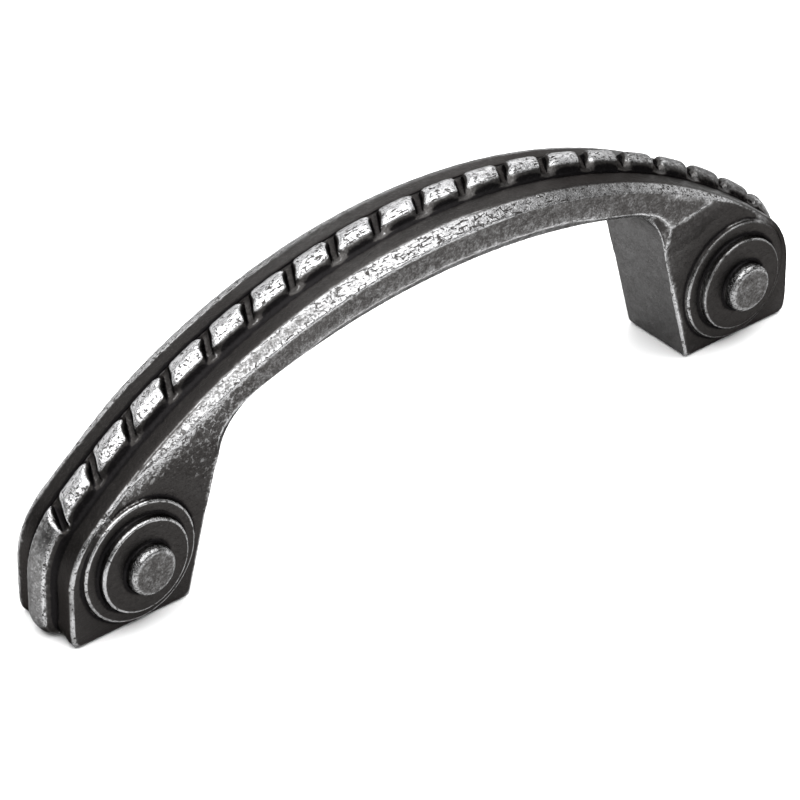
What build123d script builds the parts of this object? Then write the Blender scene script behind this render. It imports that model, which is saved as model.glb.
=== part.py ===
"""Arch pull: a one-piece cast cabinet handle with stepped bosses on its feet and a rope bead.

X runs along the pull, Y across it and Z away from the drawer front. The origin is midway
between the two screw holes, on the face of the feet that lies against the drawer front.
"""
import os
from math import asin, cos, degrees, radians, sin, sqrt, tan

from build123d import *

# Driving dimensions in millimetres and degrees
hole_spacing = 76.2            # screw to screw
foot_outer = 7.9               # screw to the end face, without the rib
foot_inner = 6.0               # screw to the foot's inner face at the drawer front
arch_height = 29.15            # drawer front to the shoulder at mid-length
arch_radius = 64.3             # of the shoulder, seen from the side
end_corner_radius = 8.0        # where the arch turns down into the end face

underside_height = 24.45       # finger room at mid-length
underside_radius = 74.0
leg_lean = 14.2                # of a foot's inner face, from upright
leg_root_radius = 7.0          # inside corner between a foot and the underside

grip_width = 11.0              # across the sides at mid-length
side_radius = 1250.0           # gentle swell of the sides, seen from above
shoulder_width = 8.3           # across the flat back, between the bevels
bevel_angle = 37.0             # fall of the bevel from the back to the sides
lower_edge_chamfer = 0.6       # along the underside
base_edge_radius = 0.7         # round the face against the drawer front

facet_fade = 0.07              # foot's face behind the underside's chamfer, which runs out on it
boss_height = 7.35             # boss centre above the drawer front
recess_margin = 2.5            # flat of a foot's face past its inner toe
recess_angle = 10.0            # rise of the dished rim from that flat to the sides

outer_disc_radius = 6.56
outer_disc_rise = 0.54
inner_disc_radius = 5.09
inner_disc_rise = 0.95
pin_radius = 2.58
pin_rise = 1.4
disc_edge = 0.15               # chamfer on the discs' rims
pin_edge = 0.3                 # chamfer on the pin's rim

rope_foot_width = 4.0          # rope bead with the sloped skirt at its foot
rope_skirt_rise = 0.15
rope_root_width = 3.5          # bead just above the skirt
rope_crown_width = 2.6         # where the sides turn into the rounded top
rope_side_rise = 0.85
rope_rise = 1.25               # top of the bead above the shoulder
rope_sink = 0.6                # root of the bead inside the casting
rib_clearance = 0.4            # end of the rib above the drawer front

lozenge_count = 18
groove_slant = 27.0            # from square across the rope
groove_floor_width = 0.8
groove_floor_rise = 0.2        # above the shoulder
groove_wall_lean = 12.0
groove_wall_rise = 0.2         # straight part of a groove's wall
lozenge_end_radius = 0.9       # rounded ends of the lozenges
cutter_margin = 1.0            # tools reach past the faces they cut

screw_hole_diameter = 3.45     # tapped for a fine cabinet screw
screw_hole_depth = 10.0

# Places that follow from the sizes above
foot_x = hole_spacing / 2
end_x = foot_x + foot_outer
foot_inner_x = foot_x - foot_inner
recess_radius = foot_inner + recess_margin
half_grip = grip_width / 2
half_shoulder = shoulder_width / 2
arch_centre_z = arch_height - arch_radius
corner_x = end_x - end_corner_radius
corner_angle = degrees(asin(corner_x / (arch_radius - end_corner_radius)))
corner_z = arch_centre_z + (arch_radius - end_corner_radius) * cos(radians(corner_angle))


def half_width(x):
    """Half the width across the swelling sides at a place along the pull."""
    return half_grip - side_radius + sqrt(side_radius**2 - x**2)


half_foot = half_width(foot_inner_x) - lower_edge_chamfer - facet_fade
half_end = half_width(end_x)


def back_line(inset, foot_z):
    """Draws the pull's back from one foot over the arch to the other, set in by inset."""
    end_turn = 90 - corner_angle
    radius = end_corner_radius - inset
    Line((inset - end_x, foot_z), (inset - end_x, corner_z))
    CenterArc((-corner_x, corner_z), radius, 180, -end_turn)
    CenterArc((0, arch_centre_z), arch_radius - inset, 90 + corner_angle, -2 * corner_angle)
    CenterArc((corner_x, corner_z), radius, end_turn, -end_turn)
    Line((end_x - inset, corner_z), (end_x - inset, foot_z))


def arch_outline(plane, inset, foot_z):
    """Face under the pull's back line, closed straight across at foot_z."""
    with BuildSketch(plane) as outline:
        with BuildLine():
            back_line(inset, foot_z)
            Line((end_x - inset, foot_z), (inset - end_x, foot_z))
        make_face()
    return outline.sketch


def foot_face(plane, radius):
    """Flat round a boss: an arc on the upper inner side, run out past the foot elsewhere."""
    reach_x = end_x + cutter_margin
    with BuildSketch(plane) as flat:
        with BuildLine():
            CenterArc((foot_x, boss_height), radius, 90, 90)
            Polyline(
                (foot_x - radius, boss_height),
                (foot_x - radius, -cutter_margin),
                (reach_x, -cutter_margin),
                (reach_x, boss_height + radius),
                (foot_x, boss_height + radius),
            )
        make_face()
    return flat.sketch


# Finger opening between the feet
with BuildSketch(Plane.XZ) as opening:
    opening_half_top = foot_inner_x - arch_height * tan(radians(leg_lean))
    opening_half_low = foot_inner_x + cutter_margin * tan(radians(leg_lean))
    with BuildLine():
        Polyline(
            (-opening_half_low, -cutter_margin),
            (-opening_half_top, arch_height),
            (opening_half_top, arch_height),
            (opening_half_low, -cutter_margin),
            close=True,
        )
    make_face()
    with Locations((0, underside_height - underside_radius)):
        Circle(underside_radius, mode=Mode.INTERSECT)
    fillet(opening.vertices().group_by(Axis.Y)[-1], leg_root_radius)

# Back of the casting with a bevel down to each side
bevel_reach = half_grip - half_shoulder + cutter_margin
bevel_fall = bevel_reach * tan(radians(bevel_angle))
with BuildPart() as bevelled_back:
    extrude(arch_outline(Plane.XZ, 0, -bevel_fall), amount=half_shoulder, both=True)
    loft(
        [
            arch_outline(Plane.XZ.offset(half_shoulder), 0, -bevel_fall),
            arch_outline(Plane.XZ.offset(half_shoulder + bevel_reach), bevel_fall, -bevel_fall),
        ],
        ruled=True,
    )
    mirror(about=Plane.XZ)

# Dished recess that leaves a foot's face flat round its boss
recess_depth = half_grip - half_foot + cutter_margin
recess_growth = recess_depth / tan(radians(recess_angle))
with BuildPart() as recess:
    loft(
        [
            foot_face(Plane.XZ.offset(half_foot), recess_radius),
            foot_face(Plane.XZ.offset(half_foot + recess_depth), recess_radius + recess_growth),
        ],
        ruled=True,
    )
    mirror(about=Plane.XZ)
    mirror(about=Plane.YZ)

# Stepped boss, a spool that stands proud of both faces of a foot
outer_disc_face = half_foot + outer_disc_rise
inner_disc_face = outer_disc_face + inner_disc_rise
pin_face = inner_disc_face + pin_rise
with BuildPart() as boss:
    with BuildSketch(Plane.XY) as steps:
        with BuildLine():
            Polyline(
                (0, 0),
                (outer_disc_radius, 0),
                (outer_disc_radius, outer_disc_face - disc_edge),
                (outer_disc_radius - disc_edge, outer_disc_face),
                (inner_disc_radius, outer_disc_face),
                (inner_disc_radius, inner_disc_face - disc_edge),
                (inner_disc_radius - disc_edge, inner_disc_face),
                (pin_radius, inner_disc_face),
                (pin_radius, pin_face - pin_edge),
                (pin_radius - pin_edge, pin_face),
                (0, pin_face),
                close=True,
            )
        make_face()
    revolve(axis=Axis.Y)
    mirror(about=Plane.XZ)

# Rope bead: a crowned strip along the whole back, cut into lozenges by slanted grooves
groove_half_floor = groove_floor_width / 2
groove_half_wall = groove_half_floor + groove_wall_rise * tan(radians(groove_wall_lean))
groove_wall_top = groove_floor_rise + groove_wall_rise
groove_half_mouth = groove_half_wall + lozenge_end_radius
groove_mouth_rise = groove_wall_top + lozenge_end_radius
bend = lozenge_end_radius * (1 - cos(radians(45)))
groove_pitch = 2 * corner_angle / lozenge_count

with BuildPart() as rope:
    with BuildLine(Plane.XZ) as rope_line:
        back_line(0, rib_clearance)
    start = rope_line.line @ 0
    with BuildSketch(Plane(start, x_dir=(0, 1, 0), z_dir=rope_line.line % 0)) as strip:
        with BuildLine():
            Polyline(
                (-rope_crown_width / 2, rope_side_rise),
                (-rope_root_width / 2, rope_skirt_rise),
                (-rope_foot_width / 2, 0),
                (-rope_foot_width / 2, -rope_sink),
                (rope_foot_width / 2, -rope_sink),
                (rope_foot_width / 2, 0),
                (rope_root_width / 2, rope_skirt_rise),
                (rope_crown_width / 2, rope_side_rise),
            )
            ThreePointArc(
                (-rope_crown_width / 2, rope_side_rise),
                (0, rope_rise),
                (rope_crown_width / 2, rope_side_rise),
            )
        make_face()
    sweep()

    for groove_index in range(lozenge_count + 1):
        angle = radians(groove_index * groove_pitch - corner_angle)
        slant = radians(groove_slant)
        along = Vector(cos(angle), 0, -sin(angle))
        outward = Vector(sin(angle), 0, cos(angle))
        across = Vector(0, 1, 0)
        foot = Vector(0, 0, arch_centre_z) + outward * arch_radius
        section = Plane(
            foot,
            x_dir=along * cos(slant) - across * sin(slant),
            z_dir=along * -sin(slant) - across * cos(slant),
        )
        with BuildSketch(section) as groove:
            with BuildLine():
                Polyline(
                    (groove_half_mouth, groove_mouth_rise),
                    (groove_half_mouth, groove_mouth_rise + cutter_margin),
                    (-groove_half_mouth, groove_mouth_rise + cutter_margin),
                    (-groove_half_mouth, groove_mouth_rise),
                )
                ThreePointArc(
                    (-groove_half_mouth, groove_mouth_rise),
                    (-groove_half_wall - bend, groove_mouth_rise - bend),
                    (-groove_half_wall, groove_wall_top),
                )
                Polyline(
                    (-groove_half_wall, groove_wall_top),
                    (-groove_half_floor, groove_floor_rise),
                    (groove_half_floor, groove_floor_rise),
                    (groove_half_wall, groove_wall_top),
                )
                ThreePointArc(
                    (groove_half_wall, groove_wall_top),
                    (groove_half_wall + bend, groove_mouth_rise - bend),
                    (groove_half_mouth, groove_mouth_rise),
                )
            make_face()
        extrude(amount=rope_foot_width, both=True, mode=Mode.SUBTRACT)


def borders_opening(edge):
    """True for the edges where the finger opening breaks out of the sides."""
    middle = edge.position_at(0.5)
    inside = abs(middle.X) < foot_inner_x and 0 < middle.Z < (arch_height + underside_height) / 2
    return inside and abs(middle.Y) > half_shoulder


with BuildPart() as arch_pull:
    # Block with sides that swell a little towards mid-length
    with BuildSketch(Plane.XY) as plan:
        with BuildLine():
            ThreePointArc((-end_x, half_end), (0, half_grip), (end_x, half_end))
            ThreePointArc((-end_x, -half_end), (0, -half_grip), (end_x, -half_end))
            Line((-end_x, half_end), (-end_x, -half_end))
            Line((end_x, half_end), (end_x, -half_end))
        make_face()
    extrude(amount=arch_height + cutter_margin)
    extrude(opening.sketch, amount=half_grip + cutter_margin, both=True, mode=Mode.SUBTRACT)
    chamfer(arch_pull.edges().filter_by(borders_opening), length=lower_edge_chamfer)

    add(recess.part, mode=Mode.SUBTRACT)
    fillet(arch_pull.edges().group_by(Axis.Z)[0], base_edge_radius)
    add(bevelled_back.part, mode=Mode.INTERSECT)

    with Locations((-foot_x, 0, boss_height), (foot_x, 0, boss_height)):
        add(boss.part)
    add(rope.part)

    drawer_side = [Plane((side * foot_x, 0, 0), z_dir=(0, 0, -1)) for side in (-1, 1)]
    with Locations(*drawer_side):
        Hole(screw_hole_diameter / 2, screw_hole_depth)

os.makedirs("parts", exist_ok=True)
arch_pull.part.label = "arch_pull"
export_step(arch_pull.part, "parts/arch_pull.step")
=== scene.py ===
import math

import bmesh
import bpy
from mathutils import Matrix, Vector


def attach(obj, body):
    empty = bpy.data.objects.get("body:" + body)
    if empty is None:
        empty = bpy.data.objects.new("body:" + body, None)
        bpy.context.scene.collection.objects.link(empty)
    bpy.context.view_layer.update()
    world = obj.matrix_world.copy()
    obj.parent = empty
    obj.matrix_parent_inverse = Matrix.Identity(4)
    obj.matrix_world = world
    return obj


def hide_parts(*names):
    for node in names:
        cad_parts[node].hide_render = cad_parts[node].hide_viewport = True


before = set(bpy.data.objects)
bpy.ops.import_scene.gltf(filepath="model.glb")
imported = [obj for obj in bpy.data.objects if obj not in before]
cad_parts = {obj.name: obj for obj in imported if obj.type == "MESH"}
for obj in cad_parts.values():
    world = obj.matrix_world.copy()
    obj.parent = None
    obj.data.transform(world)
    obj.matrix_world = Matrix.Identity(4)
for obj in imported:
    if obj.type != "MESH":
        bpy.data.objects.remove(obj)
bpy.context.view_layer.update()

MM = 0.001

# Casting, in millimetres; lengths along the pull are from mid-length
ARCH_RADIUS = 64.3            # of the shoulders, seen from the side
ARCH_HEIGHT = 29.15           # of the shoulders at mid-length
ARCH_CENTRE = ARCH_HEIGHT - ARCH_RADIUS
ARCH_END = 43.4
END_FACE = 46.0
END_CORNER = 8.0              # radius where the arch turns down into the end face
CORNER_HEIGHT = 6.39          # its centre
UNDERSIDE_RADIUS = 74.0
UNDERSIDE_CENTRE = 24.45 - UNDERSIDE_RADIUS
GRIP_HALF = 5.5               # across the sides at mid-length
SIDE_RADIUS = 1250.0
SHOULDER_HALF = 4.15          # back to the edge of the bevel
BEVEL_SLOPE = math.tan(math.radians(37.0))
FACET_HEIGHT = 1.0            # of the facet along the grip's lower edges
FACET_SLOPE = 0.5
FACET_FADE = 0.3              # lost towards the legs
FOOT_HALF = 4.42              # across the flat faces of the feet
LEG_TOE = 32.1                # inner toe of a foot
LEG_SLOPE = math.tan(math.radians(14.2))
RECESS_SLOPE = math.tan(math.radians(10.0))
RIDGE_START = Vector((28.9, 17.6))    # ridge between a foot's recess and the side of the grip
RIDGE_CLIMB = 0.1
ROOT_CENTRE = Vector((23.18, 14.68))  # widened facet at the root of a leg
ROOT_RADIUS = 6.15
ROOT_SLOPE = 0.55
HEEL_ROUND = 2.6              # height over which an end face turns in at the base
HEEL_INSET = 1.3
HEEL_REACH = (40.2, 45.2)
HEEL_CORNER_LOSS = 0.7        # of that inset, at the corners of the end face
BOSS_PLACE = 38.1
BOSS_HEIGHT = 7.35
BOSS_ROOM = 7.2               # radius kept clear round a boss
PIN_FACE = 6.77
PIN_RIM = 2.0                 # radius where the rim of a pin begins
OUT_OF_REACH = 10.0           # added to a limit that trims nothing there

# Rope bead, in millimetres
BEAD_HALF = 1.3               # across its crown
ROPE_HALF = 1.75              # across its root
LOZENGES = 18
ARCH_REACH = ARCH_RADIUS * math.asin((END_FACE - END_CORNER) / (ARCH_RADIUS - END_CORNER))
GROOVE_PITCH = 2 * ARCH_REACH / LOZENGES
GROOVE_SLANT = math.radians(27.0)
GROOVE_HALF = 0.44
SHARP_CORNER = 0.95           # radius that a lozenge's sharp corners are worn to
BLUNT_CORNER = 0.45

# Skin of the casting, in millimetres
SKIN_GRID = 0.12              # spacing of the skin's points before it is thinned
SKIN_TRIANGLES = 195000
SKIN_INPUTS = {
    "Evening passes": 1,      # against the steps of the grid
    "Softening passes": 2,
    "Rope passes": 12,        # further softening of the rope's lozenges
    "Rim passes": 16,         # further softening of the edges between back and bevels
    "Edge passes": 8,         # reach of the worn line along an edge
    "Hollow passes": 36,      # reach of the tarnish and painted shade in a hollow
    "Grain depth": 0.06,
    "Grain size": 0.6,
    "Patch size": 3.0,        # of the uneven borders between rubbed and tarnished
    "Seed": 3.7,
}

# Share of bare metal on each part of the casting, from 0 where all is tarnish; the shares for the
# shoulders' middle, right end and far side, the bevels' right end, the far rim and the rope towards
# the right foot also paint light and shade
ROPE_BARE = 0.84
ROPE_PAINTED_SHADE_RIGHT = 0.4          # painted shade towards the right foot, where the lozenges' tops face away from the light
GROOVE_BARE = 0.24
RIB_BARE = 0.43
RIB_EDGE_BARE = 0.3           # more than the rib
BEVEL_BARE = 0.43
BEVEL_BARE_MIDDLE = 0.2       # more than elsewhere
BEVEL_BARE_LEFT = 0.12
# painted light: the bevels are made lighter towards the right end, as a painted reflection of a
# brighter surround
BEVEL_PAINTED_LIGHT_RIGHT = 0.24
ARRIS_BARE = 0.72             # between bevel and side
RIM_BARE = 0.62               # between back and bevel
SHOULDER_BARE = 0.03
# painted light: the shoulders are made lighter at mid-length and towards the right end, as painted
# reflections of a brighter surround, and on the far side, as light from behind
SHOULDER_PAINTED_LIGHT_MIDDLE = 0.18
SHOULDER_PAINTED_LIGHT_RIGHT = 0.32
SHOULDER_PAINTED_LIGHT_FAR = 0.06
# the far rim's share is worn edge and painted light from behind together
FAR_RIM_WEAR_AND_LIGHT = 0.7
FAR_RIM_WEAR_AND_LIGHT_LOSS = 0.28      # at mid-length
FLANK_BARE = 0.29
FLANK_BARE_LOW = 0.14
FLANK_BARE_LOSS = 0.04
FOOT_LINE_BARE = 0.14
FOOT_LINE_BARE_RIGHT = 0.42
ROOT_LINE_BARE = 0.56
LOWER_LINE_BARE = 0.6
SCUFF_BARE = 0.52
SCUFF_BARE_HIGH = 0.2
SCUFF_BARE_LOSS = 0.24
FOOT_BARE = 0.08
FOOT_BARE_OUTER = 0.14        # away from the boss
LEG_EDGE_BARE = 0.52
PIN_BARE = 0.29
PIN_RIM_BARE = 0.26
INWARD_BARE = 0.38            # inner faces of the legs
BELOW_BARE = 0.33
CHAMFER_BARE = 0.5

# Pewter, in millimetres
MOTTLE_SIZE = 0.9
FLECK_SIZE = 0.2
CLOUD_SIZE = 3.0
DENT_SIZE = 0.47
NICK_SIZE = 0.5
SPECK_SIZE = 0.3
CHIP_SIZE = 0.45
SCRATCHES = (                 # length, width, turn, and the noise that each starts and ends at
    (1.3, 0.2, (0.5, 0.4, 1.2), 0.60, 0.67),
    (1.1, 0.18, (1.1, 0.2, 2.2), 0.61, 0.68),
)
BUMP_DISTANCE = 0.08
TONES = (                     # from tarnish and painted shade in the hollows to bare metal
    (0.0, (0.008, 0.0075, 0.0078, 1.0)),
    (0.04, (0.0200, 0.0186, 0.0180, 1.0)),
    (0.28, (0.050, 0.048, 0.047, 1.0)),
    (0.55, (0.130, 0.129, 0.129, 1.0)),
    (1.0, (0.42, 0.42, 0.425, 1.0)),
)
GLINT_TINT = (0.4, 0.4, 0.4, 1.0)

# Studio, in metres and watts
PAPER = (0.92, 0.92, 0.92, 1.0)
FLOOR_HALF = 3.0
ROOM_LIGHT = 0.35
LAMPS = (                     # name, size, power, place and the point that it is aimed at
    ("softbox", (0.9, 0.9), 11.0, Vector((-0.02, -0.08, 0.5)), Vector((-0.02, -0.08, 0.0))),
    ("side_card", (3.6, 1.08), 26.0, Vector((2.52, 1.08, 0.65)), Vector()),
    ("back_card", (5.04, 1.44), 41.5, Vector((0.72, 2.52, 0.9)), Vector()),
)

# Camera, in metres and degrees
CAMERA_EYE = Vector((-0.29180, -0.34578, 0.31606))
CAMERA_AZIMUTH = -39.949
CAMERA_ELEVATION = 34.372
CAMERA_ROLL = 0.212
CAMERA_LENS = 250.39
CAMERA_SENSOR = 36.0
CAMERA_NEAR = 0.05
CAMERA_FAR = 10.0


class Wire:
    """An output socket; sums and products of wires add Math nodes to their board."""

    def __init__(self, board, socket):
        self.board = board
        self.socket = socket

    def __add__(self, other):
        return self.board.math("ADD", self, other)

    def __radd__(self, other):
        return self.board.math("ADD", other, self)

    def __sub__(self, other):
        return self.board.math("SUBTRACT", self, other)

    def __rsub__(self, other):
        return self.board.math("SUBTRACT", other, self)

    def __mul__(self, other):
        return self.board.math("MULTIPLY", self, other)

    def __rmul__(self, other):
        return self.board.math("MULTIPLY", other, self)

    def __truediv__(self, other):
        return self.board.math("DIVIDE", self, other)

    def __rtruediv__(self, other):
        return self.board.math("DIVIDE", other, self)

    def __neg__(self):
        return self.board.math("SUBTRACT", 0.0, self)

    def __abs__(self):
        return self.board.math("ABSOLUTE", self)


class Board:
    """A node tree that nodes are added to."""

    def __init__(self, tree):
        self.tree = tree

    def add(self, kind, settings=None, sockets=None, out=0):
        """Adds a node of that type: its settings, then the values or wires of its sockets."""
        node = self.tree.nodes.new(kind)
        for name, value in (settings or {}).items():
            if name == "stops":
                ramp = node.color_ramp.elements
                while len(ramp) < len(value):
                    ramp.new(0.5)
                for stop, (place, colour) in zip(ramp, value):
                    stop.position = place
                    stop.color = colour
            else:
                setattr(node, name, value)
        for key, value in (sockets or {}).items():
            target = node.inputs[key]
            if isinstance(value, Wire):
                self.tree.links.new(value.socket, target)
            else:
                target.default_value = value
        return Wire(self, node.outputs[out]) if node.outputs else None

    def math(self, operation, first, second=0.0):
        return self.add("ShaderNodeMath", {"operation": operation}, {0: first, 1: second})

    def most(self, first, *others):
        for other in others:
            first = self.math("MAXIMUM", first, other)
        return first

    def least(self, first, *others):
        for other in others:
            first = self.math("MINIMUM", first, other)
        return first

    def length(self, first, second):
        """Length of the line that goes first one way and second at right angles to it."""
        return self.math("SQRT", first * first + second * second)

    def step(self, value, low, high):
        """0 up to low, 1 from high on and smooth between; it falls where low is above high."""
        sockets = {"Value": value, "From Min": low, "From Max": high}
        return self.add("ShaderNodeMapRange", {"interpolation_type": "SMOOTHSTEP"}, sockets)

    def parts(self, vector):
        """A vector's parts along the pull, across it and up."""
        return [self.add("ShaderNodeSeparateXYZ", None, {0: vector}, axis) for axis in range(3)]

    def point(self, x, y, z):
        return self.add("ShaderNodeCombineXYZ", None, {0: x, 1: y, 2: z})


class Skin(Board):
    """The node tree of the casting's skin, with the mesh that its steps change in turn."""

    def __init__(self, tree):
        super().__init__(tree)
        self.mesh = self.given("Geometry")
        self.position = self.add("GeometryNodeInputPosition")
        self.normal = self.add("GeometryNodeInputNormal")

    def given(self, name):
        return self.add("NodeGroupInput", out=name)

    def blurred(self, passes):
        """Places of the points, each evened out with its neighbours in that many passes."""
        sockets = {"Value": self.position, "Iterations": self.given(passes)}
        return self.add("GeometryNodeBlurAttribute", {"data_type": "FLOAT_VECTOR"}, sockets)

    def stand_out(self, passes):
        """How far a point stands out from its blurred neighbourhood, along its normal."""
        sockets = {0: self.position, 1: self.blurred(passes)}
        away = self.add("ShaderNodeVectorMath", {"operation": "SUBTRACT"}, sockets)
        sockets = {0: away, 1: self.normal}
        return self.add("ShaderNodeVectorMath", {"operation": "DOT_PRODUCT"}, sockets, "Value")

    def spots(self, size):
        """Soft unevenness of that given size, from -0.5 to 0.5."""
        sockets = {"Vector": self.position, "W": self.given("Seed"), "Detail": 2.0}
        sockets["Scale"] = 1.0 / self.given(size)
        return self.add("ShaderNodeTexNoise", {"noise_dimensions": "4D"}, sockets) - 0.5

    def move(self, place, share=1.0):
        """Moves the points to that place, or by a share of the way there."""
        if isinstance(share, Wire):
            sockets = {0: share, 4: self.position, 5: place}
            place = self.add("ShaderNodeMix", {"data_type": "VECTOR"}, sockets, 1)
        self.change("GeometryNodeSetPosition", {"Position": place})

    def note(self, name, value):
        """Stores a value on the points under that name."""
        settings = {"data_type": "FLOAT", "domain": "POINT"}
        self.change("GeometryNodeStoreNamedAttribute", {"Name": name, "Value": value}, settings)

    def change(self, kind, sockets=None, settings=None):
        self.mesh = self.add(kind, settings, {"Geometry": self.mesh, **(sockets or {})})


def back_rise(board, x, z):
    """Height over the casting's back, along the arch, round its corners and down the end faces."""
    along = abs(x)
    arch = board.length(x, z - ARCH_CENTRE) - ARCH_RADIUS
    past = board.most(along - (END_FACE - END_CORNER), 0.0)
    over = board.most(z - CORNER_HEIGHT, 0.0)
    end = board.length(past, over) - END_CORNER
    turned = board.step(along, ARCH_END - 0.05, ARCH_END + 0.05)
    return arch + (end - arch) * turned


def underside_rise(board, x, z):
    """Height over the arc of the grip's underside."""
    return board.length(x, z - UNDERSIDE_CENTRE) - UNDERSIDE_RADIUS


def levelness(board, x, z, normal):
    """1 where the skin lies level with the arch's back and 0 where it stands upright on it."""
    lean, _, tilt = board.parts(normal)
    return (lean * x + tilt * (z - ARCH_CENTRE)) / board.length(x, z - ARCH_CENTRE)


def above_ridge(x, z):
    """Height over the ridge between a foot's recess and the side of the grip."""
    return z - RIDGE_START.y - (abs(x) - RIDGE_START.x) * RIDGE_CLIMB


def half_widths(board, x, z):
    """Half the width at the sides, a recess's rim, a leg root's facet and the grip's low facet."""
    along = abs(x)
    half = GRIP_HALF - x * x / (2.0 * SIDE_RADIUS)
    below = board.most(-above_ridge(x, z), 0.0)
    rim = board.most(half - below * RECESS_SLOPE, FOOT_HALF)
    inside = ROOT_RADIUS - board.length(along - ROOT_CENTRE.x, z - ROOT_CENTRE.y)
    root = half - inside * ROOT_SLOPE
    fade = board.step(along, 14.0, 22.0) * FACET_FADE
    run_out = board.step(along, 23.0, 24.0) * OUT_OF_REACH
    facet = half - (FACET_HEIGHT - underside_rise(board, x, z)) * FACET_SLOPE + (fade + run_out)
    return half, rim, root, facet


def trimmed_sides(skin):
    """Places trimmed for each recess's rim, the facets of the sides and the turn of each heel."""
    x, y, z = skin.parts(skin.position)
    along, across = abs(x), abs(y)
    _, rim, root, facet = half_widths(skin, x, z)
    from_boss = skin.length(along - BOSS_PLACE, z - BOSS_HEIGHT)
    rim = rim + skin.step(from_boss, BOSS_ROOM + 0.2, BOSS_ROOM) * OUT_OF_REACH
    kept = skin.least(across, rim, root, facet)
    low = 1.0 - skin.least(z / HEEL_ROUND, 1.0)
    inset = low * low * HEEL_INSET * skin.step(along, *HEEL_REACH)
    inset = inset * (1.0 - skin.step(across, 1.5, 4.0) * HEEL_CORNER_LOSS)
    return skin.point(x - inset * skin.math("SIGN", x), kept * skin.math("SIGN", y), z)


def rounded_lozenges(skin):
    """Places on the rope bead, with the corners of each lozenge worn round."""
    x, y, z = skin.parts(skin.position)
    arc = skin.math("ARCTAN2", x, z - ARCH_CENTRE) * ARCH_RADIUS
    turn = (arc - y * math.tan(GROOVE_SLANT) + ARCH_REACH) / GROOVE_PITCH
    from_middle = skin.math("FRACT", turn) - 0.5
    spacing = GROOVE_PITCH * math.cos(GROOVE_SLANT)
    from_groove = skin.most((0.5 - abs(from_middle)) * spacing - GROOVE_HALF, 0.0)
    sharp = skin.step(from_middle * y, -0.2, 0.2)
    radius = BLUNT_CORNER + sharp * (SHARP_CORNER - BLUNT_CORNER)
    short = skin.most(radius - from_groove, 0.0)
    loss = radius - skin.math("SQRT", radius * radius - short * short)
    on_bead = skin.step(back_rise(skin, x, z), 0.15, 0.5) * skin.step(abs(y), 2.1, 1.9)
    on_bead = on_bead * skin.step(abs(x), ARCH_END, ARCH_END - 0.5)
    return skin.point(x, y * (1.0 - on_bead * loss / ROPE_HALF), z)


class Spot:
    """Where a point of the skin lies on the casting, which is what its wear and its painted light
    and shade go by.
    """

    def __init__(self, skin):
        step = skin.step
        self.board = skin
        self.uneven = skin.spots("Patch size")
        self.x, self.y, self.z = skin.parts(skin.position)
        self.along, self.across = abs(self.x), abs(self.y)
        self.lean, sideways, self.tilt = skin.parts(skin.normal)
        self.side = abs(sideways)
        self.facing = step(self.side, 0.82, 0.92)
        self.level = levelness(skin, self.x, self.z, skin.normal)
        self.rise = back_rise(skin, self.x, self.z)
        self.lower = underside_rise(skin, self.x, self.z)
        self.over = above_ridge(self.x, self.z)
        self.half, self.recess, self.root, self.facet = half_widths(skin, self.x, self.z)
        self.from_boss = skin.length(self.along - BOSS_PLACE, self.z - BOSS_HEIGHT)
        self.on_arch = step(self.along, ARCH_END + 0.4, ARCH_END - 0.4)
        self.middle = 1.0 - step(self.along + self.uneven * 8.0, 9.0, 24.0)
        self.left_root = step(self.uneven * 4.0 - self.x, 27.0, 31.0)
        self.right = step(self.x + self.uneven * 6.0, 12.0, 38.0)
        self.at_right = step(self.x, -1.0, 1.0)
        self.past_ridge = step(self.over, -0.15, 0.15)


def rope_wear_and_shade(spot):
    """Bare shares of the lozenges, the floors of the grooves and the ribs down the end faces, with
    painted shade on the lozenges towards the right foot.
    """
    step, rise, across, uneven = spot.board.step, spot.rise, spot.across, spot.uneven
    bead = step(rise + uneven * 0.1, 0.55, 0.85) * step(across, 1.7, 1.45)
    crown = step(spot.level + uneven * 0.1, 0.62, 0.78) * step(across, 1.55, 1.0)
    # painted shade: the lozenges' bare share falls towards the right foot, where their tops face
    # away from the light
    rope = bead * spot.on_arch * crown * (ROPE_BARE - spot.right * ROPE_PAINTED_SHADE_RIGHT)
    groove = step(across, 1.3, 1.0) * step(rise, 0.05, 0.15) * step(rise, 0.6, 0.4)
    groove = groove * spot.on_arch * step(spot.level, 0.6, 0.85) * GROOVE_BARE
    rib_edge = step(abs(across - BEAD_HALF), 0.3, 0.1) * RIB_EDGE_BARE
    rib = bead * (1.0 - spot.on_arch) * (RIB_BARE + rib_edge)
    return rope, groove, rib


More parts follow.
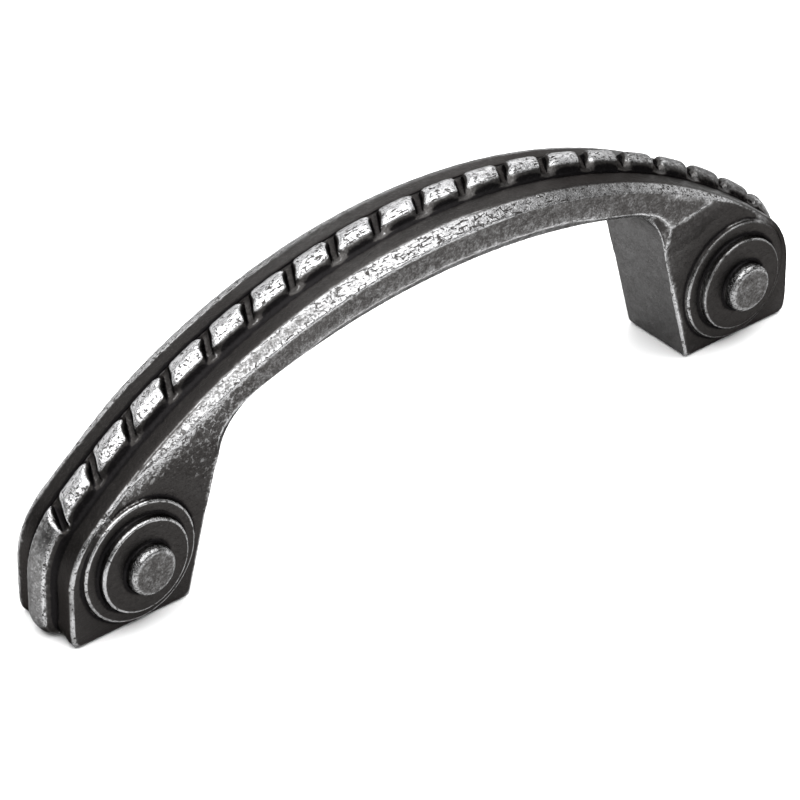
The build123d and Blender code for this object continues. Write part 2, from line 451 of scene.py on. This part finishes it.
def back_wear_and_light(spot):
    """Bare shares of the shoulders, the bevels and the lines along them, with painted light on the
    shoulders, on the far rim and on the bevels towards the right end.
    """
    step, rise, across, uneven = spot.board.step, spot.rise, spot.across, spot.uneven
    bevel = step(spot.side, 0.3, 0.45) * step(spot.side, 0.96, 0.88)
    bevel = bevel * step(rise, -3.2, -2.6) * step(spot.z, 9.0, 16.0)
    bevel = bevel * step(across, SHOULDER_HALF, SHOULDER_HALF + 0.2)
    patch = spot.board.most(spot.middle * BEVEL_BARE_MIDDLE, spot.left_root * BEVEL_BARE_LEFT)
    # the part of the bevels' share towards the right end is painted light
    bevel = bevel * (BEVEL_BARE + patch + spot.right * BEVEL_PAINTED_LIGHT_RIGHT)
    leftward = uneven * 6.0 - spot.x
    lined = step(leftward, -6.0, 0.0) * step(leftward, 32.0, 28.0)
    from_arris = rise + (spot.half - SHOULDER_HALF) * BEVEL_SLOPE
    arris = step(abs(from_arris), 0.32, 0.12) * step(spot.half - across, 0.5, 0.3)
    arris = arris * lined * ARRIS_BARE
    rim = step(abs(across - SHOULDER_HALF), 0.3, 0.1) * step(rise, -0.5, -0.3)
    rim = rim * lined * RIM_BARE
    # painted light: the shoulders are lighter on the far side, as light from behind, and at
    # mid-length and towards the right end, as painted reflections of a brighter surround
    far = step(spot.y, 1.5, 3.5) * SHOULDER_PAINTED_LIGHT_FAR
    shoulder = SHOULDER_BARE + spot.middle * SHOULDER_PAINTED_LIGHT_MIDDLE + far
    shoulder = step(rise, -0.3, -0.1) * (shoulder + spot.right * SHOULDER_PAINTED_LIGHT_RIGHT)
    # far rim: worn edge together with painted light from behind
    far_rim = step(rise, -0.9, -0.6) * step(spot.y + uneven * 0.3, 3.65, 3.85)
    far_rim = far_rim * (FAR_RIM_WEAR_AND_LIGHT - spot.middle * FAR_RIM_WEAR_AND_LIGHT_LOSS)
    return bevel, arris, rim, shoulder, far_rim


def side_wear(spot):
    """Bare shares of the grip's sides, the lines of their facets and the scuffs over the feet."""
    step, along, uneven, over = spot.board.step, spot.along, spot.uneven, spot.over
    left_end = step(over + uneven * 5.0, -3.2, 0.8)
    grip = left_end + (spot.past_ridge - left_end) * spot.at_right
    low = step(spot.lower, 2.0, 0.8) * step(along, 22.0, 18.0)
    flank = spot.facing * grip * step(spot.root - spot.half, -0.05, 0.05)
    flank = flank * (FLANK_BARE + low * FLANK_BARE_LOW - spot.right * FLANK_BARE_LOSS)
    ridge = step(abs(over), 0.34, 0.16) * spot.facing
    ridge = ridge * step(along, 28.3, 28.9) * step(along, 35.5, 33.8)
    leg_line = step(abs(spot.root - spot.recess), 0.14, 0.06) * step(over, 0.2, 0.0)
    leg_line = leg_line * step(spot.z, 12.0, 13.5) * step(spot.side, 0.7, 0.85)
    foot_lines = spot.board.most(ridge, leg_line)
    foot_lines = foot_lines * (FOOT_LINE_BARE + spot.at_right * FOOT_LINE_BARE_RIGHT)
    root_line = step(abs(spot.root - spot.half), 0.16, 0.07) * step(over, -0.3, 0.0)
    root_line = root_line * step(along, 20.0, 21.0) * step(spot.side, 0.6, 0.8) * ROOT_LINE_BARE
    lower_line = step(abs(spot.facet - spot.half), 0.12, 0.05) * step(along, 23.0, 21.0)
    lower_line = lower_line * step(spot.side, 0.7, 0.85) * LOWER_LINE_BARE
    scuff = step(spot.rise + uneven * 4.0, -3.4, -0.2) * step(along + uneven * 6.0, 43.0, 35.0)
    scuff = scuff * spot.facing * step(along, 24.0, 30.0)
    scuff = scuff * (1.0 - spot.at_right + spot.at_right * spot.past_ridge)
    high = step(spot.rise, -2.0, -0.9) * SCUFF_BARE_HIGH
    scuff = scuff * (SCUFF_BARE + high - spot.right * SCUFF_BARE_LOSS)
    return flank, foot_lines, root_line, lower_line, scuff


def foot_wear(spot):
    """Bare shares of the feet's flat faces, their inner edges and the pins."""
    step, z, uneven = spot.board.step, spot.z, spot.uneven
    outer = step(spot.from_boss + uneven * 3.0, 7.5, 11.0)
    foot = spot.facing * (FOOT_BARE + outer * FOOT_BARE_OUTER)
    from_leg = spot.along + z * LEG_SLOPE - LEG_TOE
    leg_edge = step(abs(from_leg + uneven * 0.6), 0.55, 0.25) * spot.facing * step(z, 18.0, 17.0)
    upper = step(z + uneven * 6.0, 5.0, 12.0)
    leg_edge = leg_edge * spot.board.most(upper, spot.at_right) * LEG_EDGE_BARE
    rim = step(spot.from_boss + uneven * 0.6, PIN_RIM, PIN_RIM + 0.25)
    pin = step(spot.across, PIN_FACE - 0.4, PIN_FACE - 0.25)
    pin = pin * (PIN_BARE + rim * PIN_RIM_BARE)
    return foot, leg_edge, pin


def under_wear(spot):
    """Bare shares of the legs' inner faces, the grip's underside and the chamfers along it."""
    step = spot.board.step
    inward = step(-(spot.lean * spot.x / spot.along), 0.5, 0.9) * INWARD_BARE
    below = step(-spot.tilt, 0.4, 0.8) * step(spot.z, 2.0, 4.0) * BELOW_BARE
    chamfer = step(-spot.tilt, 0.3, 0.5) * step(spot.side, 0.45, 0.55) * CHAMFER_BARE
    return inward, below, chamfer


def rubbing_and_light(skin):
    """Share of bare metal that handling and the maker's brush leave on each part of the casting,
    with painted light on the shoulders, bevels and far rim and painted shade on the lozenges
    towards the right foot.
    """
    spot = Spot(skin)
    wear_and_light_zones = (rope_wear_and_shade, back_wear_and_light, side_wear, foot_wear, under_wear)
    return skin.most(*(zone for wear in wear_and_light_zones for zone in wear(spot)))


def worn_skin_tree(finish):
    """Nodes that soften and roughen the casting and note where it is rubbed and where light is
    painted on it, where it is edged, and where it is hollow, with tarnish and painted shade.
    """
    tree = bpy.data.node_groups.new("worn_skin", "GeometryNodeTree")
    face = tree.interface
    face.new_socket("Geometry", in_out="INPUT", socket_type="NodeSocketGeometry")
    for name, value in SKIN_INPUTS.items():
        kind = "NodeSocketInt" if isinstance(value, int) else "NodeSocketFloat"
        face.new_socket(name, in_out="INPUT", socket_type=kind)
    face.new_socket("Geometry", in_out="OUTPUT", socket_type="NodeSocketGeometry")

    skin = Skin(tree)
    step = skin.step
    x, y, z = skin.parts(skin.position)
    along, across = abs(x), abs(y)
    rise = back_rise(skin, x, z)
    level = levelness(skin, x, z, skin.normal)
    on_arch = step(along, ARCH_END + 0.4, ARCH_END - 0.4)
    on_rim = step(abs(across - SHOULDER_HALF), 0.9, 0.4) * step(rise, -1.2, -0.6)
    on_rope = step(across, 1.9, 1.6) * step(rise, 0.25, 0.6) * on_arch
    walls = step(across, 2.0, 1.9) * step(rise, 0.05, 0.2) * step(rise, 1.0, 0.75)
    walls = walls * on_arch * step(level, 0.8, 0.6)
    floors = step(level, 0.6, 0.85) * step(rise, 0.08, 0.18) * step(rise, 0.6, 0.4) * on_arch
    on_pin = step(across, PIN_FACE - 0.8, PIN_FACE - 0.6)
    on_foot = step(x, 31.0, 33.0) * step(rise, -1.0, -1.5)
    quiet = step(rise, -1.8, -1.3) * step(x, 3.0, 14.0) * 0.7 + on_pin * 0.4 + on_foot * 0.4

    skin.move(skin.blurred("Evening passes"))
    skin.move(trimmed_sides(skin))
    skin.move(rounded_lozenges(skin))
    skin.note("edge", skin.stand_out("Edge passes") * (1.0 - walls) * (1.0 - quiet))
    skin.move(skin.blurred("Softening passes"))
    skin.move(skin.blurred("Rope passes"), on_rope)
    skin.move(skin.blurred("Rim passes"), on_rim)

    # painted shade: hollows, most of all by the rope, and the rope's walls are noted darker, partly
    # as tarnish and partly as painted shade
    by_rope = 0.45 + step(rise, -1.5, -0.5) * 0.55
    deep = skin.stand_out("Hollow passes") * by_rope * (1.0 - floors * 0.7)
    skin.note("hollow", walls * 0.06 - deep)
    outward = skin.parts(skin.normal)[0] * x
    end_face = step(outward, 30.0, 40.0) * (0.7 + step(rise, 0.8, 0.4) * 0.3)
    shoulder = step(rise, -0.3, -0.1) * step(rise, 0.3, 0.1)
    skin.note("calm", step(-outward, 10.0, 20.0) + end_face + shoulder)
    at_left = step(skin.spots("Patch size") * 6.0 - x, 22.0, 28.0)
    skin.note("chipped", (0.2 + at_left * 0.6) * (1.0 - on_pin * 0.8))
    # the bare share holds wear together with painted light and shade on some parts
    skin.note("rub", rubbing_and_light(skin))

    rub = skin.add("GeometryNodeInputNamedAttribute", {"data_type": "FLOAT"}, {"Name": "rub"})
    depth = skin.given("Grain depth") * (0.4 + rub * 1.6) * step(z, 0.1, 0.5)
    sockets = {0: skin.normal, "Scale": skin.spots("Grain size") * depth}
    grain = skin.add("ShaderNodeVectorMath", {"operation": "SCALE"}, sockets)
    skin.change("GeometryNodeSetPosition", {"Offset": grain})
    skin.change("GeometryNodeSetShadeSmooth")
    skin.change("GeometryNodeRealizeInstances")
    skin.change("GeometryNodeSetMaterial", {"Material": finish})
    skin.add("NodeGroupOutput", None, {"Geometry": skin.mesh})
    return tree


def set_inputs(modifier, values):
    """Sets a Geometry Nodes modifier's inputs, found by name, through their identifiers."""
    for item in modifier.node_group.interface.items_tree:
        if item.in_out == "INPUT" and item.name in values:
            modifier[item.identifier] = values[item.name]


def pewter():
    """Antique pewter: dark tarnish, and bare metal with pits where the casting is rubbed; the same
    tones also paint light where it is painted into the bare share, and shade in the hollows.
    """
    finish = bpy.data.materials.new("antique_pewter")
    finish.use_nodes = True
    finish.node_tree.nodes.clear()
    board = Board(finish.node_tree)
    step = board.step
    place = board.add("ShaderNodeTexCoord", out="Object")
    edge, hollow, rub, calm, chipped = (
        board.add("ShaderNodeAttribute", {"attribute_name": name}, out="Fac")
        for name in ("edge", "hollow", "rub", "calm", "chipped")
    )

    def noise(size, detail, roughness=0.55, bend=0.0, where=place):
        """Soft spots of about that size, from 0 to 1."""
        sockets = {"Vector": where, "Scale": 1.0 / (size * MM), "Detail": detail}
        sockets.update({"Roughness": roughness, "Distortion": bend})
        return board.add("ShaderNodeTexNoise", None, sockets)

    def scratches(long, short, turn, low, high):
        """Broken streaks of that length and width, turned by those angles."""
        sockets = {"Vector": place, "Rotation": turn, "Scale": (short / long, 1.0, 1.0)}
        laid = board.add("ShaderNodeMapping", None, sockets)
        return step(noise(short, 2.0, 0.5, 0.3, laid), low, high)

    mottle = noise(MOTTLE_SIZE, 4.0)
    fleck = noise(FLECK_SIZE, 3.0, 0.7)
    cloud = noise(CLOUD_SIZE, 3.0)
    dents = step(noise(DENT_SIZE, 3.0, 0.6, 0.9), 0.55, 0.65)
    dents = board.most(dents, *(scratches(*streaks) for streaks in SCRATCHES))
    nicks = step(noise(NICK_SIZE, 3.0, 0.65, 0.5), 0.56, 0.66)
    specks = step(noise(SPECK_SIZE, 2.0, 0.6), 0.66, 0.74)

    # these masks follow the bare share, which holds painted light and shade as well as wear
    rubbed_and_lit = step(rub, 0.05, 0.4)
    polish_and_light = step(rub, 0.42, 0.64)
    spots = (mottle - 0.5) * 0.45 * rubbed_and_lit
    spots = spots + (fleck - 0.5) * (0.2 + rubbed_and_lit * (0.6 - polish_and_light * 0.38))
    chips = step(noise(CHIP_SIZE, 4.0, 0.6, 0.8) + rub * 0.3, 0.6, 0.68) - 0.35
    chips = chips * step(rub, 0.1, 0.2) * step(rub, 0.6, 0.45) * 0.3
    face = rub + spots * (1.0 - calm * 0.6) + chips * chipped * (1.0 - calm)
    face = face * (1.0 - dents * (0.06 + polish_and_light * 0.68)) + specks * (1.0 - rubbed_and_lit) * 0.12
    line = step(edge, 0.012, 0.036) * (0.36 + cloud * 0.46)
    line = line * (1.0 - nicks * 0.7) * (1.0 + rubbed_and_lit * 0.3)
    line = line + (fleck - 0.5) * 0.3 * step(line, 0.05, 0.3)
    # painted shade: darker in hollows and on the rope's walls, partly tarnish in them and partly
    # painted shade
    bare_with_painted_light_and_shade = board.most(face, line) + 0.1 - step(hollow, 0.01, 0.08) * 0.4
    bare_with_painted_light_and_shade = step(bare_with_painted_light_and_shade, 0.0, 1.05)

    colour = board.add("ShaderNodeValToRGB", {"stops": TONES}, {"Fac": bare_with_painted_light_and_shade})
    tarnish = (1.0 - bare_with_painted_light_and_shade) * (1.0 - bare_with_painted_light_and_shade)
    roughness = 0.25 + tarnish * 0.15 + (mottle - 0.5) * 0.1
    relief = (fleck * 0.4 + mottle * 0.5 - dents * 0.6) * (0.3 + polish_and_light * 0.7)
    bump = board.add("ShaderNodeBump", None, {
        "Height": relief, "Strength": 0.9, "Distance": BUMP_DISTANCE * MM,
    })
    shader = board.add("ShaderNodeBsdfPrincipled", None, {
        "Base Color": colour, "Roughness": roughness, "Metallic": 1.0,
        "Specular Tint": GLINT_TINT, "Normal": bump,
    })
    board.add("ShaderNodeOutputMaterial", None, {"Surface": shader})
    return finish


def worn_casting(node, finish):
    """A fine closed skin over the casting, with the softened edges of a worn piece."""
    shape = node.data.copy()
    build = bmesh.new()
    build.from_mesh(shape)
    bmesh.ops.remove_doubles(build, verts=build.verts, dist=0.001 * MM)
    build.to_mesh(shape)
    build.free()
    shape.transform(Matrix.Scale(1 / MM, 4))
    blank = bpy.data.objects.new("casting_blank", shape)
    bpy.context.scene.collection.objects.link(blank)

    remesh = blank.modifiers.new("skin", "REMESH")
    remesh.mode = "VOXEL"
    remesh.voxel_size = SKIN_GRID
    wear = blank.modifiers.new("wear", "NODES")
    wear.node_group = worn_skin_tree(finish)
    set_inputs(wear, SKIN_INPUTS)
    dense = blank.evaluated_get(bpy.context.evaluated_depsgraph_get())
    triangles = 2 * len(dense.data.polygons)
    thin = blank.modifiers.new("thin", "DECIMATE")
    thin.ratio = min(1.0, SKIN_TRIANGLES / triangles)
    worn = blank.evaluated_get(bpy.context.evaluated_depsgraph_get())
    mesh = bpy.data.meshes.new_from_object(worn)
    bpy.data.objects.remove(blank)
    mesh.transform(Matrix.Scale(MM, 4))
    casting = bpy.data.objects.new("worn_casting", mesh)
    bpy.context.scene.collection.objects.link(casting)
    return casting


def studio():
    """A white paper floor under a softbox, with pale cards of light beside and behind the pull."""
    scene = bpy.context.scene
    scene.view_settings.view_transform = "Standard"
    world = bpy.data.worlds.new("studio")
    world.use_nodes = True
    room = world.node_tree.nodes["Background"].inputs
    room["Color"].default_value = (1, 1, 1, 1)
    room["Strength"].default_value = ROOM_LIGHT
    scene.world = world

    paper = bpy.data.materials.new("white_paper")
    paper.use_nodes = True
    sheet = paper.node_tree.nodes["Principled BSDF"].inputs
    sheet["Base Color"].default_value = PAPER
    sheet["Roughness"].default_value = 0.9
    sheet["Specular IOR Level"].default_value = 0.0
    floor_mesh = bpy.data.meshes.new("floor")
    corners = [(x * FLOOR_HALF, y * FLOOR_HALF, 0) for x, y in ((-1, -1), (1, -1), (1, 1), (-1, 1))]
    floor_mesh.from_pydata(corners, [], [(0, 1, 2, 3)])
    floor_mesh.materials.append(paper)
    floor = bpy.data.objects.new("floor", floor_mesh)
    scene.collection.objects.link(floor)

    for name, size, power, place, aim in LAMPS:
        lamp = bpy.data.lights.new(name, "AREA")
        lamp.shape = "RECTANGLE"
        lamp.size, lamp.size_y = size
        lamp.energy = power
        box = bpy.data.objects.new(name, lamp)
        box.location = place
        box.rotation_mode = "QUATERNION"
        box.rotation_quaternion = (aim - place).to_track_quat("-Z", "Y")
        scene.collection.objects.link(box)


def photo_camera():
    """The camera at the photograph's viewing angle."""
    azimuth, elevation = math.radians(CAMERA_AZIMUTH), math.radians(CAMERA_ELEVATION)
    level = math.cos(elevation)
    ahead = Vector((-math.sin(azimuth) * level, math.cos(azimuth) * level, -math.sin(elevation)))
    data = bpy.data.cameras.new("camera")
    data.lens = CAMERA_LENS
    data.sensor_width = CAMERA_SENSOR
    data.clip_start = CAMERA_NEAR
    data.clip_end = CAMERA_FAR
    camera = bpy.data.objects.new("camera", data)
    camera.location = CAMERA_EYE
    camera.rotation_mode = "QUATERNION"
    roll = Matrix.Rotation(math.radians(CAMERA_ROLL), 4, "Z")
    turn = ahead.to_track_quat("-Z", "Y").to_matrix().to_4x4() @ roll
    camera.rotation_quaternion = turn.to_quaternion()
    bpy.context.scene.collection.objects.link(camera)
    bpy.context.scene.camera = camera


finish = pewter()
casting = worn_casting(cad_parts["arch_pull"], finish)
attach(casting, "root")
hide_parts("arch_pull")
studio()
photo_camera()
